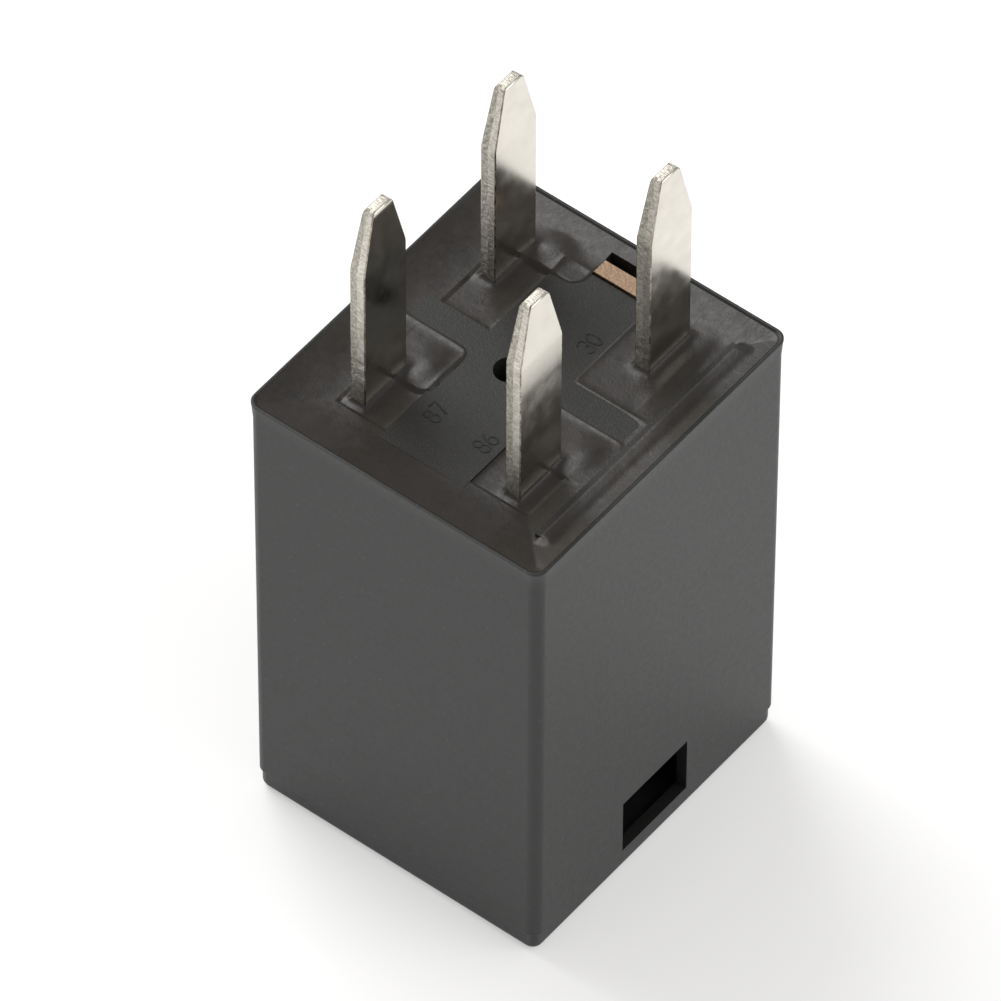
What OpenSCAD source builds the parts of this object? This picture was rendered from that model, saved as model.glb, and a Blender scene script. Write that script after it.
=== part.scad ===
// Micro relay for a vehicle fuse box: a moulded cover potted round a base with four blade terminals.
// Millimetres. The origin is the bottom centre of the closed end of the cover, +Z points to the blades,
// X runs from the 85/87 side to the 30/86 side and Y from the 86/87 side to the 30/85 side.
// The armature is drawn open, as its spring holds it when the coil is off.

/* [Cover] */
// Width of the cover at its rim, along X
cover_w = 15.6; // [15:0.1:18]
// Depth of the cover at its rim, along Y
cover_d = 17.05; // [16.6:0.05:20]
// Height of the cover from its closed end to its rim
cover_h = 25.3; // [23:0.1:32]
// Thickness of the side walls
cover_wall = 0.55; // [0.4:0.05:0.7]
// Thickness of the closed end
cover_end = 0.8; // [0.6:0.05:1.2]
// Radius of the four upright corners
cover_corner_r = 0.6; // [0.4:0.05:1.2]
// Radius round the edge of the closed end
end_edge_r = 0.45; // [0.2:0.05:0.8]
// Height of the band at the closed end that is stepped in
end_step_h = 1.2; // [0.9:0.1:1.35]
// Depth of that step on each side
end_step = 0.1; // [0.05:0.01:0.2]
// Draft of each side wall over the height of the cover
cover_draft = 0.06; // [0:0.01:0.15]
// Height of the flared lip at the rim
lip_h = 1; // [0.5:0.1:2]
// How far the lip stands out from the wall below it
lip_flare = 0.07; // [0.02:0.01:0.15]
// Height of the bevel inside the rim that the potting fills
rim_bevel_h = 0.5; // [0.3:0.05:0.8]
// Flat left outside that bevel, at the rim
rim_land = 0.12; // [0.08:0.02:0.3]

/* [Pry slots] */
// Length of each pry slot, along Y
slot_l = 4.45; // [3:0.05:6]
// Height of each pry slot
slot_h = 3.15; // [2:0.05:4]
// Height of the lower edge of each pry slot above the closed end
slot_z = 1.4; // [1.3:0.05:3]
// Shift of the pry slots from the middle of the side, along Y
slot_shift = -0.15; // [-1:0.05:1]
// Width of the bevel along the upper edge of each pry slot
slot_bevel = 0.25; // [0.1:0.05:0.4]

/* [Base] */
// Gap between the base and the cover wall, filled by the potting
base_gap = 0.1; // [0.05:0.01:0.2]
// Drop from the rim to the grained top of the base
base_drop = 0.4; // [0.3:0.05:0.8]
// Thickness of the base, from its underside to its grained top
base_t = 3.9; // [3:0.1:5]
// Height of the grained top above the ledge that the potting lies on
top_h = 0.7; // [0.5:0.05:1]
// Width of the grained middle part, along X
top_w = 4.5; // [3:0.1:5]
// Width of the two arms of the grained top, along Y
top_arm_w = 1.5; // [0.8:0.1:2]
// Width of the rib beside the 30/86 terminals
rib_w = 0.75; // [0.4:0.05:1]
// Gap between that rib and the wall of the cover
rib_inset = 0.33; // [0.25:0.01:0.8]
// Length of that rib, along Y
rib_l = 13.4; // [8:0.1:14.4]
// Height of that rib above the grained top
rib_h = 0.2; // [0.1:0.02:0.3]
// Radius of the vent hole
vent_r = 0.7; // [0.4:0.05:0.9]
// Size of the ribs inside the corners of the cover that the base stands on
seat_rib = 0.75; // [0.5:0.05:0.9]

/* [Potting] */
// Drop from the rim to the potting beside the cover wall
potting_drop = 0.05; // [0.02:0.01:0.2]
// Drop from the grained top to the level of the potting round the blades
pool_drop = 0.15; // [0.05:0.01:0.3]
// Width of the bank of potting that climbs to the rim
bank_w = 1.9; // [1:0.1:2.5]

/* [Blades] */
// Thickness of the terminal stock
blade_t = 0.8; // [0.6:0.05:1]
// Width of each blade
blade_w = 2.8; // [2.3:0.1:3.2]
// Length of each blade above the rim
blade_l = 10.9; // [8:0.1:14]
// Centre distance of the blades along X
pitch_x = 8.24; // [8:0.02:9]
// Centre distance of the blades along Y
pitch_y = 8.75; // [8.2:0.05:9]
// Shift of the blade pattern from the middle of the cover, along X
pattern_x = -0.2; // [-0.4:0.05:0.4]
// Shift of the blade pattern from the middle of the cover, along Y
pattern_y = 0.45; // [0:0.05:0.6]
// Length of the tapered tip of a blade
tip_l = 3.15; // [2:0.05:4]
// Width left at the end of the tip
tip_w = 1.3; // [0.8:0.05:1.6]
// Thickness left at the end of the coined tip
tip_t = 0.56; // [0.4:0.02:0.6]
// Gap round each blade in its slot in the base
blade_gap = 0.04; // [0.02:0.01:0.1]
// Width of the tail of a coil terminal
tail_w = 1.2; // [0.8:0.1:1.6]
// Height of the band that joins a load terminal to its inner leg
band_h = 1.4; // [1:0.1:1.8]
// Inside bend radius of the terminal stock
bend_r = 0.3; // [0.2:0.05:0.4]
// Width of the inner legs of the load terminals
leg_w = 3.2; // [2.4:0.1:4]
// Gap between the inner leg of terminal 87 and the cover wall
leg_gap = 0.57; // [0.4:0.01:0.8]
// Gap between the inner leg of terminal 30 and the cover wall
carrier_gap = 0.65; // [0.5:0.01:0.8]
// Width of the ear of terminal 30 that shows in the base
ear_w = 3.4; // [2:0.1:4]
// Left edge of that ear
ear_x = -0.97; // [-1.5:0.01:-0.5]
// Height of the ear above the grained top
ear_h = 0.15; // [0.05:0.01:0.3]
// How far the foot of terminal 87 passes its contact button
foot_margin = 0.1; // [0:0.05:0.2]
// Height of the leg of terminal 30 along the yoke
tongue_l = 4.6; // [3:0.1:5]

/* [Magnet] */
// Height of the pole face above the closed end
pole_z = 4.2; // [4:0.1:6]
// Thickness of the yoke strip
yoke_t = 0.9; // [0.7:0.05:1.1]
// Width of the upright leg of the yoke
yoke_w = 8.4; // [7:0.1:9]
// Width of the top leg of the yoke
yoke_top_w = 5.6; // [4.6:0.1:5.8]
// Gap between the top leg of the yoke and the base
yoke_gap = 0.6; // [0.5:0.05:1]
// Radius of the core
core_r = 2; // [1.6:0.05:2.4]
// How far the armature reaches past the pole head of the core
pole_margin = 0.4; // [0.3:0.05:0.8]
// Thickness of the pole head
pole_t = 1.1; // [1.1:0.05:1.4]
// Radius of the tenon of the core in the yoke
tenon_r = 1.4; // [1:0.05:1.6]
// Wall of the bobbin barrel
barrel_wall = 0.5; // [0.4:0.05:0.8]
// Thickness of the bobbin flanges
flange_t = 1; // [0.8:0.05:1.2]
// Gap between the bobbin flanges and the side walls of the cover
flange_gap = 1.2; // [1:0.05:1.4]
// Gap between the bobbin flanges and the metal in front of and behind them
flange_clear = 0.3; // [0.3:0.02:0.4]
// Height that the winding stays below the edge of the flanges
winding_inset = 0.5; // [0.3:0.05:1]
// Radius of the coil wire where it leaves the winding
lead_r = 0.1; // [0.06:0.01:0.12]
// Radius of the solder on a coil terminal
solder_r = 0.86; // [0.82:0.02:0.92]

/* [Armature] */
// Thickness of the armature
armature_t = 1; // [0.8:0.05:1.2]
// Width of the armature
armature_w = 8; // [6.5:0.1:8.2]
// Angle that the armature opens to
open_angle = 3.5; // [2.5:0.1:4]
// Thickness of the contact spring
spring_t = 0.2; // [0.12:0.01:0.25]
// Width of the contact spring
spring_w = 5; // [4.4:0.1:5.4]
// Width of the contact spring at its contact
spring_tip_w = 2.6; // [2.3:0.1:3]
// Length of the contact spring riveted up the yoke
spring_leg = 7.2; // [6.6:0.1:8]
// Radius of the bow of the contact spring round the pivot
bow_r = 1; // [0.9:0.02:1.1]
// Radius of a contact button
contact_r = 1; // [0.8:0.05:1.1]
// Gap between the contact buttons and the metal beside them
contact_room = 0.2; // [0.15:0.05:0.4]
// Height of the moving contact button above its spring
contact_h = 0.6; // [0.5:0.02:0.7]
// Height of the fixed contact button below its foot
fixed_h = 0.5; // [0.5:0.02:0.6]
// Radius of the heads of the small rivets
rivet_r = 0.8; // [0.6:0.05:0.9]
// Running gap kept between moving metal and what it meets
run_gap = 0.03; // [0.02:0.01:0.04]

/* [Hidden] */

round_fn = 64;    // facets of a full turn on the larger round shapes
small_fn = 32;    // facets of a full turn on the small ones
over = 0.5;       // how far a cutter passes a face

// Sides and levels of the cover
wall_in_x = cover_w / 2 - cover_wall - cover_draft - lip_flare;
wall_in_y = cover_d / 2 - cover_wall - cover_draft - lip_flare;
cavity_r = 0.35;                              // radius of the upright corners inside the cover
lip_edge = 0.12;                              // height of the upright edge of the lip

// Levels, from the rim down
base_top = cover_h - base_drop;
base_bottom = base_top - base_t;
ledge_z = base_top - top_h;
band_z = base_bottom - band_h;
yoke_top = base_bottom - yoke_gap;
flange_top = yoke_top - yoke_t;
winding_top = flange_top - flange_t;

// Levels, from the pole face
flange_bottom = pole_z + pole_t;
winding_bottom = flange_bottom + flange_t;

// Places along Y
leg_y = -wall_in_y + leg_gap;                 // outer face of the inner leg of terminal 87
carrier_y = wall_in_y - carrier_gap;          // outer face of the inner leg of terminal 30
pivot_y = carrier_y - blade_t;                // outer face of the yoke, and the armature pivot
yoke_in_y = pivot_y - yoke_t;
flange_front = leg_y + blade_t + flange_clear;
flange_back = yoke_in_y - flange_clear;
coil_y = (flange_front + flange_back) / 2;
flange_d = flange_back - flange_front;
flange_w = 2 * (wall_in_x - flange_gap);
flange_r = 1.5;                               // radius of the corners of the flanges
winding_r = min(flange_w, flange_d) / 2 - winding_inset;
winding_edge = 0.25;                          // bevel at the ends of the winding
barrel_r = core_r + run_gap + barrel_wall;

// Blades: middle of each blade
left_x = pattern_x - pitch_x / 2;
right_x = pattern_x + pitch_x / 2;
front_y = pattern_y - pitch_y / 2;
back_y = pattern_y + pitch_y / 2;
tip_z = cover_h + blade_l;
tip_cut = 0.15;                               // height of the small cut at each tip corner

// Contacts and armature, in the closed place
contact_y = leg_y + blade_t + contact_r + contact_room;
armature_top = pole_z - run_gap;
armature_bottom = armature_top - armature_t;
armature_front = contact_y + contact_r + 2 * contact_room;
armature_back = pivot_y - 0.05;
armature_chamfer = 0.3;                       // bevel under the back edge of the armature
armature_corner = 1;                          // cut at the front corners of the armature
pole_r = coil_y - armature_front - pole_margin;
pole_edge = 0.1;                              // bevel round the pole face
spring_top = armature_bottom - run_gap;
contact_face = spring_top + contact_h;
foot_bottom = contact_face + run_gap + fixed_h;
foot_l = contact_y + contact_r + foot_margin - leg_y;

// Rivets
shank_r = 0.5;                                // shanks of the contacts and small rivets
rivet_h = 0.3;                                // height of the heads of the small rivets
contact_tail = 0.2;                           // height of the head under the moving contact
press_gap = 0.01;                             // gap round a shank that is pressed in
armature_rivet_x = 1.4;                       // distance of the armature rivets from the middle
armature_rivet_in = 2.2;                      // distance of the armature rivets from the pivot
yoke_rivet_up = 3.4;                          // height of the lower yoke rivet above the pole face
yoke_rivet_pitch = 2.6;                       // distance between the yoke rivets
armature_rivet_y = pivot_y - armature_rivet_in;
yoke_rivet_z = [pole_z + yoke_rivet_up, pole_z + yoke_rivet_up + yoke_rivet_pitch];

// Hooks of the bobbin that stop the armature
hook_gap = 0.15;                              // gap between a hook and the side of the armature
hook_t = 0.7;                                 // thickness of a hook
hook_w = 1.4;                                 // width of a hook, along Y
hook_in = 0.5;                                // distance of a hook from the front of the armature
hook_y = armature_front + hook_in;
hook_top = pole_z - (pole_z - armature_bottom) * cos(open_angle)
    - (pivot_y - hook_y) * sin(open_angle) - run_gap;

// Coil terminals and leads
tail_85 = [left_x, back_y - blade_w / 2 + tail_w / 2];
tail_86 = [right_x, front_y + blade_w / 2 - tail_w / 2];
tail_gap = 0.15;                              // gap between a tail and the winding under it
tail_z = winding_top + tail_gap;
lead_angle = 16;                              // how far round from its tail a lead leaves the winding
lead_start = 0.6;                             // how far below the flange a lead starts
lead_rise = 0.5;                              // height at which a lead crosses the flange
lead_z = flange_top + lead_rise;

// Base and potting
top_margin = 1.5;                             // ledge in front of the grained top
rib_left = wall_in_x - rib_inset - rib_w;
rib_y = 0.2;                                  // middle of the rib, along Y
recess_depth = 0.3;                           // depth of the recess behind the ear, below the ledge
recess_wall = 0.2;                            // potting left between that recess and the cover
vent_x = -0.45;                               // place of the vent hole
vent_y = 0;
pad_in = 2.15;                                // distance of the pads under the base from the core
pad_side = 1;                                 // side of a pad
cap_h = 0.45;                                 // height of the headed end of the core
cap_side = 0.5;                               // how far that head stands out
bank_steps = 8;

// Middle line of the contact spring round the pivot: an outward bend, then the bow back under it
bow_in = 0.5;                                 // radius of the outward bend
bow_turn = 55;                                // angle of the outward bend
spring_waist = 1.5;                           // where the contact spring starts to narrow
spring_neck = 0.4;                            // distance of its narrow part from the armature
spring_end = 0.15;                            // how far the contact spring passes its button
window_w = 1.8;                               // window in the bow of the contact spring
window_up = 0.3;                              // how far that window passes the bow
spring_y = pivot_y + spring_t / 2;
spring_drop = pole_z - spring_top + spring_t / 2;
bow_mid_y = spring_y + bow_in * (1 - cos(bow_turn)) - bow_r * cos(bow_turn);
bow_end_y = bow_mid_y + bow_r * sin(open_angle);
bow_end_z = pole_z + (sin(open_angle) * (bow_end_y - pivot_y) - spring_drop) / cos(open_angle);
bow_mid_z = bow_end_z + bow_r * cos(open_angle);
bow_start_z = bow_mid_z + (bow_in + bow_r) * sin(bow_turn);
spring_reach = bow_end_y - contact_y + contact_r + spring_end;

// Shapes that several pieces share

// Rectangle with round corners, centred
module round_rect(w, d, r) {
    square([w - 2 * r, d], center = true);
    square([w, d - 2 * r], center = true);
    for (x = [-1, 1], y = [-1, 1])
        translate([x * (w / 2 - r), y * (d / 2 - r)]) circle(r, $fn = round_fn);
}

// Strip bent to an L: outer corner at the origin, one leg along -X and one along -Y
module bent_strip(reach_x, reach_y, t, inner_r) {
    outer_r = inner_r + t;
    translate([-reach_x, -t]) square([reach_x - outer_r, t]);
    translate([-t, -reach_y]) square([t, reach_y - outer_r]);
    translate([-outer_r, -outer_r]) intersection() {
        difference() {
            circle(outer_r, $fn = round_fn);
            circle(inner_r, $fn = round_fn);
        }
        square(outer_r + over);
    }
}

// Profile drawn in Y and Z, extruded along X and centred
module along_x(w) {
    rotate([90, 0, 90]) translate([0, 0, -w / 2]) linear_extrude(w) children();
}

// Profile drawn in X and Z, extruded along Y and centred
module along_y(w) {
    rotate([90, 0, 0]) translate([0, 0, -w / 2]) linear_extrude(w) children();
}

// Turns a piece of the armature from its closed place to its open one
module opened() {
    translate([0, pivot_y, pole_z]) rotate([open_angle, 0, 0])
        translate([0, -pivot_y, -pole_z]) children();
}

// Mirrors a piece to the other side of X = 0 as well
module both_sides() {
    children();
    mirror([1, 0, 0]) children();
}

// Cover

// Upright section of the cover, half width w at the rim: rounded end, step, draft and lip
module cover_profile(w) {
    wall = w - lip_flare;
    foot = wall - cover_draft;
    end = foot - end_step;
    arc = [for (a = [0:15:90])
        [end - end_edge_r * (1 - sin(a)), end_edge_r * (1 - cos(a))]];
    right = concat(
        arc,
        [[end, end_step_h - end_step], [foot, end_step_h],
         [wall, cover_h - lip_h], [w, cover_h - lip_edge], [w, cover_h]]
    );
    left = [for (i = [len(right) - 1:-1:0]) [-right[i][0], right[i][1]]];
    polygon(concat(right, left));
}

// Space inside the cover from the level low up to the level high, with the bevel inside the rim
module cover_cavity(low, high) {
    start = cover_h - rim_bevel_h;
    translate([0, 0, low]) linear_extrude(high - low)
        round_rect(2 * wall_in_x, 2 * wall_in_y, cavity_r);
    intersection() {
        translate([0, 0, start]) linear_extrude(high - start)
            round_rect(cover_w - 2 * rim_land, cover_d - 2 * rim_land, cover_corner_r - rim_land);
        along_y(cover_d) bevel_section(wall_in_x, cover_w / 2 - rim_land);
        along_x(cover_w) bevel_section(wall_in_y, cover_d / 2 - rim_land);
    }
}

// Section of the bevel inside the rim, from half width w at its foot to half width wide at the rim
module bevel_section(w, wide) {
    start = cover_h - rim_bevel_h;
    polygon([
        [-w, start], [w, start], [wide, cover_h], [wide, cover_h + over],
        [-wide, cover_h + over], [-wide, cover_h],
    ]);
}

// Opening through both side walls, with a bevel along its upper edge
module pry_slots() {
    depth = cover_wall + cover_draft + lip_flare;
    both_sides() translate([wall_in_x, slot_shift, slot_z]) {
        translate([-over, -slot_l / 2, 0]) cube([depth + 2 * over, slot_l, slot_h]);
        along_y(slot_l) polygon([
            [0, slot_h - over], [0, slot_h], [cover_wall, slot_h + slot_bevel],
            [depth + over, slot_h + slot_bevel], [depth + over, slot_h - over],
        ]);
    }
}

// Ribs in the corners of the cover that the base stands on
module seat_ribs() {
    side = seat_rib + cavity_r / 2;
    low = cover_end / 2;
    for (x = [-1, 1], y = [-1, 1])
        translate([x * (wall_in_x + (cavity_r - side) / 2), y * (wall_in_y + (cavity_r - side) / 2), low])
            linear_extrude(base_bottom - low) square(side, center = true);
}

module cover() {
    color([0.31, 0.32, 0.315]) {
        difference() {
            intersection() {
                linear_extrude(cover_h) round_rect(cover_w, cover_d, cover_corner_r);
                along_y(cover_d + 2 * over) cover_profile(cover_w / 2);
                along_x(cover_w + 2 * over) cover_profile(cover_d / 2);
            }
            cover_cavity(cover_end, cover_h + over);
            pry_slots();
        }
        seat_ribs();
    }
}

// Base and potting

// Grained top of the base: a middle part with an arm to each side
module top_outline() {
    front = -wall_in_y + base_gap + top_margin;
    back = pivot_y - blade_gap;
    left = -wall_in_x + base_gap + top_margin / 2;
    right = rib_left;
    translate([pattern_x - top_w / 2, front]) square([top_w, back - front]);
    translate([left, pattern_y - top_arm_w / 2]) square([right - left, top_arm_w]);
}

module rib_outline() {
    translate([rib_left, rib_y - rib_l / 2]) square([rib_w, rib_l]);
}

// Recess behind the ear of terminal 30, open to the slot that the ear comes through
module ear_slot() {
    translate([ear_x - blade_gap, pivot_y - blade_gap, base_bottom - over])
        cube([ear_w + 2 * blade_gap, blade_t + 2 * blade_gap, base_t + 2 * over]);
    translate([ear_x - blade_gap, pivot_y, ledge_z - recess_depth])
        cube([ear_w + 2 * blade_gap, wall_in_y - recess_wall - pivot_y, top_h + recess_depth + over]);
}

// Section of a blade at full width, grown by gap on each side
module blade_section(gap) {
    for (x = [left_x, right_x], y = [front_y, back_y])
        translate([x, y]) square([blade_t + 2 * gap, blade_w + 2 * gap], center = true);
}

module base() {
    color([0.24, 0.24, 0.24]) difference() {
        union() {
            translate([0, 0, base_bottom]) linear_extrude(base_t - top_h)
                round_rect(2 * (wall_in_x - base_gap), 2 * (wall_in_y - base_gap), cavity_r);
            translate([0, 0, ledge_z]) linear_extrude(top_h) top_outline();
            translate([0, 0, ledge_z]) linear_extrude(top_h + rib_h) rib_outline();
            // Pads that hold the yoke down
            for (x = [-1, 1], y = [-1, 1])
                translate([x * pad_in, coil_y + y * pad_in, base_bottom - yoke_gap])
                    linear_extrude(yoke_gap + over) square(pad_side, center = true);
        }
        translate([0, 0, base_bottom - over]) linear_extrude(base_t + 2 * over) blade_section(blade_gap);
        translate([vent_x, vent_y, base_bottom - over])
            cylinder(r = vent_r, h = base_t + 2 * over, $fn = small_fn);
        ear_slot();
    }
}

// Section of the space over the potting, half width w: flat in the middle, banks that climb to the rim
module pool_section(w) {
    level = base_top - pool_drop;
    climb = cover_h - potting_drop - level;
    right = [for (i = [0:bank_steps])
        [w - bank_w * (1 - i / bank_steps), level + climb * pow(i / bank_steps, 2)]];
    left = [for (i = [bank_steps:-1:0]) [-right[i][0], right[i][1]]];
    polygon(concat(right, [[cover_w, climb + level], [cover_w, cover_h + over],
                           [-cover_w, cover_h + over], [-cover_w, climb + level]], left));
}

module potting() {
    color([0.21, 0.19, 0.175]) difference() {
        cover_cavity(ledge_z, cover_h - potting_drop);
        intersection() {
            along_y(cover_d) pool_section(cover_w / 2 - rim_land);
            along_x(cover_w) pool_section(cover_d / 2 - rim_land);
        }
        translate([0, 0, ledge_z - over]) linear_extrude(top_h + over) top_outline();
        translate([0, 0, ledge_z - over]) linear_extrude(top_h + rib_h + over) rib_outline();
        translate([0, 0, ledge_z - over]) linear_extrude(top_h + 2 * over) blade_section(0);
        ear_slot();
    }
}

// Terminals

// Blade with its middle at x and y, from the level low up to its coined tip
module blade(x, y, low) {
    side = tip_cut / 2;
    half = blade_w / 2;
    translate([x, y, 0]) intersection() {
        along_x(blade_t) polygon([
            [-half, low], [half, low], [half, tip_z - tip_l],
            [tip_w / 2 + side, tip_z - tip_cut], [tip_w / 2 - side, tip_z],
            [-tip_w / 2 + side, tip_z], [-tip_w / 2 - side, tip_z - tip_cut], [-half, tip_z - tip_l],
        ]);
        along_y(blade_w) polygon([
            [-blade_t / 2, low], [blade_t / 2, low], [blade_t / 2, tip_z - tip_l],
            [tip_t / 2, tip_z], [-tip_t / 2, tip_z], [-blade_t / 2, tip_z - tip_l],
        ]);
    }
}

// Terminal of the coil: a blade with a narrow tail that stands in the upper flange of the bobbin
module coil_terminal(x, y, tail_y) {
    color([0.78, 0.76, 0.72]) {
        blade(x, y, base_bottom);
        translate([x - blade_t / 2, tail_y - tail_w / 2, tail_z])
            cube([blade_t, tail_w, base_bottom - tail_z + over]);
    }
}

module terminal_85() {
    coil_terminal(left_x, back_y, tail_85[1]);
}

module terminal_86() {
    coil_terminal(right_x, front_y, tail_86[1]);
}

// Terminal of the yoke and the moving contact: its inner leg lies on the back of the yoke
module terminal_30() {
    side = right_x + blade_t / 2;
    color([0.78, 0.76, 0.72]) {
        blade(right_x, back_y, band_z);
        translate([side, carrier_y, band_z]) linear_extrude(band_h)
            bent_strip(side + leg_w / 2, carrier_y - back_y + blade_w / 2, blade_t, bend_r);
        translate([-leg_w / 2, pivot_y, base_bottom - tongue_l]) cube([leg_w, blade_t, tongue_l]);
    }
    color([0.55, 0.42, 0.32]) translate([ear_x, pivot_y, base_bottom - over])
        cube([ear_w, blade_t, base_t + ear_h + over]);
}

// Terminal of the fixed contact: its inner leg runs down the front of the coil to a foot
module terminal_87() {
    side = left_x - blade_t / 2;
    color([0.78, 0.76, 0.72]) difference() {
        union() {
            blade(left_x, front_y, band_z);
            translate([side, leg_y, band_z]) rotate(180) linear_extrude(band_h)
                bent_strip(leg_w / 2 - side, front_y + blade_w / 2 - leg_y, blade_t, bend_r);
            along_x(leg_w) translate([leg_y, foot_bottom]) rotate(180)
                bent_strip(foot_l, base_bottom - foot_bottom, blade_t, bend_r);
        }
        translate([0, contact_y, foot_bottom - over])
            cylinder(r = shank_r + press_gap, h = blade_t + 2 * over, $fn = small_fn);
    }
}

// Magnet

module yoke() {
    color([0.6, 0.6, 0.58]) difference() {
        union() {
            along_x(yoke_top_w) translate([pivot_y, yoke_top])
                bent_strip(pivot_y - coil_y + pole_r, yoke_top - pole_z, yoke_t, bend_r);
            translate([-yoke_w / 2, yoke_in_y, pole_z]) cube([yoke_w, yoke_t, winding_top - pole_z]);
        }
        translate([0, coil_y, flange_top - over])
            cylinder(r = tenon_r + press_gap, h = yoke_t + 2 * over, $fn = round_fn);
        for (z = yoke_rivet_z) translate([0, pivot_y + over, z]) rotate([90, 0, 0])
            cylinder(r = shank_r + press_gap, h = yoke_t + 2 * over, $fn = small_fn);
    }
}

// Core: pole head, shank through the bobbin, tenon headed over on the yoke
module core() {
    head = [[0, pole_z], [pole_r - pole_edge, pole_z], [pole_r, pole_z + pole_edge],
            [pole_r, flange_bottom]];
    tenon = [[core_r, flange_bottom], [core_r, flange_top], [tenon_r, flange_top], [tenon_r, yoke_top]];
    cap = [[tenon_r + cap_side, yoke_top], [tenon_r + cap_side * 0.7, yoke_top + cap_h * 0.7],
           [tenon_r, yoke_top + cap_h], [0, yoke_top + cap_h]];
    color([0.55, 0.55, 0.54]) translate([0, coil_y, 0])
        rotate_extrude($fn = round_fn) polygon(concat(head, tenon, cap));
}

// Flange of the bobbin, seen from above
module flange_outline() {
    translate([0, coil_y]) round_rect(flange_w, flange_d, flange_r);
}

// Hook on each side of the lower flange that the open armature rests on
module stop_hooks() {
    both_sides() {
        translate([armature_w / 2 + hook_gap, hook_y, hook_top - hook_t])
            cube([hook_t, hook_w, flange_bottom + flange_t / 2 - hook_top + hook_t]);
        translate([armature_w / 2 - hook_t, hook_y, hook_top - hook_t])
            cube([2 * hook_t + hook_gap, hook_w, hook_t]);
    }
}

module bobbin() {
    color([0.82, 0.79, 0.7]) difference() {
        union() {
            translate([0, coil_y, flange_bottom])
                cylinder(r = barrel_r, h = flange_top - flange_bottom, $fn = round_fn);
            translate([0, 0, flange_bottom]) linear_extrude(flange_t) flange_outline();
            translate([0, 0, winding_top]) linear_extrude(flange_t) flange_outline();
            stop_hooks();
        }
        translate([0, coil_y, flange_bottom - over])
            cylinder(r = core_r + run_gap, h = flange_top - flange_bottom + 2 * over, $fn = round_fn);
        for (tail = [tail_85, tail_86]) {
            translate([tail[0] - blade_t / 2 - blade_gap, tail[1] - tail_w / 2 - blade_gap, tail_z])
                cube([blade_t + 2 * blade_gap, tail_w + 2 * blade_gap, flange_t + over]);
            translate(concat(lead_foot(tail), winding_top - over))
                cylinder(r = 2 * lead_r, h = flange_t + 2 * over, $fn = small_fn);
        }
    }
}

module winding() {
    inside = winding_r - winding_edge;
    color([0.55, 0.25, 0.12]) translate([0, coil_y, 0]) rotate_extrude($fn = round_fn) polygon([
        [barrel_r, winding_bottom], [inside, winding_bottom], [winding_r, winding_bottom + winding_edge],
        [winding_r, winding_top - winding_edge], [inside, winding_top], [barrel_r, winding_top],
    ]);
}

// Where a lead leaves the winding: beside it, a little way round from the tail that it runs to
function lead_foot(tail) =
    let (angle = atan2(tail[1] - coil_y, tail[0]) + lead_angle, r = winding_r + lead_r + run_gap)
    [r * cos(angle), coil_y + r * sin(angle)];

// End of the coil wire: up beside the winding, through the flange and across to the tail
module coil_lead(tail) {
    foot = lead_foot(tail);
    reach = [tail[0] - foot[0], tail[1] - foot[1]];
    across = norm(reach) - norm([blade_t, tail_w]) / 2 - run_gap;
    color([0.72, 0.4, 0.2]) translate([foot[0], foot[1], 0]) {
        translate([0, 0, winding_top - lead_start])
            cylinder(r = lead_r, h = lead_z - winding_top + lead_start, $fn = small_fn);
        translate([0, 0, lead_z]) sphere(lead_r, $fn = small_fn);
        translate([0, 0, lead_z]) rotate([0, 90, atan2(reach[1], reach[0])])
            cylinder(r = lead_r, h = across, $fn = small_fn);
    }
}

module coil_lead_85() {
    coil_lead(tail_85);
}

module coil_lead_86() {
    coil_lead(tail_86);
}

// Solder round a tail and the wire on it
module solder(tail) {
    edge = solder_r / 6;
    color([0.75, 0.75, 0.76]) difference() {
        translate([tail[0], tail[1], lead_z - solder_r / 2]) rotate_extrude($fn = small_fn) polygon([
            [0, 0], [solder_r - edge, 0], [solder_r, edge],
            [solder_r, solder_r - edge], [solder_r - edge, solder_r], [0, solder_r],
        ]);
        translate([tail[0] - blade_t / 2, tail[1] - tail_w / 2, tail_z])
            cube([blade_t, tail_w, base_bottom - tail_z]);
        coil_lead(tail);
    }
}

module solder_85() {
    solder(tail_85);
}

module solder_86() {
    solder(tail_86);
}

// Armature and contacts

module armature() {
    half = armature_w / 2;
    color([0.62, 0.62, 0.6]) opened() difference() {
        intersection() {
            along_x(armature_w) polygon([
                [armature_front, armature_bottom], [armature_back - armature_chamfer, armature_bottom],
                [armature_back, armature_bottom + armature_chamfer], [armature_back, armature_top],
                [armature_front, armature_top],
            ]);
            linear_extrude(2 * pole_z) polygon([
                [-half, armature_back], [-half, armature_front + armature_corner],
                [-half + armature_corner, armature_front], [half - armature_corner, armature_front],
                [half, armature_front + armature_corner], [half, armature_back],
            ]);
        }
        both_sides() translate([armature_rivet_x, armature_rivet_y, armature_bottom - over])
            cylinder(r = shank_r + press_gap, h = armature_t + 2 * over, $fn = small_fn);
    }
}

// Middle line of the contact spring in Y and Z: down the yoke, out round the pivot and back under the
// armature. Each entry is [y, z, direction].
spring_line = concat(
    [[spring_y, pole_z + spring_leg, -90]],
    [for (a = [0:bow_turn / 5:bow_turn])
        [spring_y + bow_in * (1 - cos(a)), bow_start_z - bow_in * sin(a), a - 90]],
    [for (i = [1:12])
        let (a = bow_turn - (bow_turn + 90 - open_angle) * i / 12)
        [bow_mid_y + bow_r * cos(a), bow_mid_z + bow_r * sin(a), a - 90]],
    [[bow_end_y - spring_reach * cos(open_angle), bow_end_z - spring_reach * sin(open_angle),
      open_angle - 180]]
);

// The middle line moved sideways by d
function spring_side(d) = [for (p = spring_line) [p[0] - d * sin(p[2]), p[1] + d * cos(p[2])]];

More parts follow.
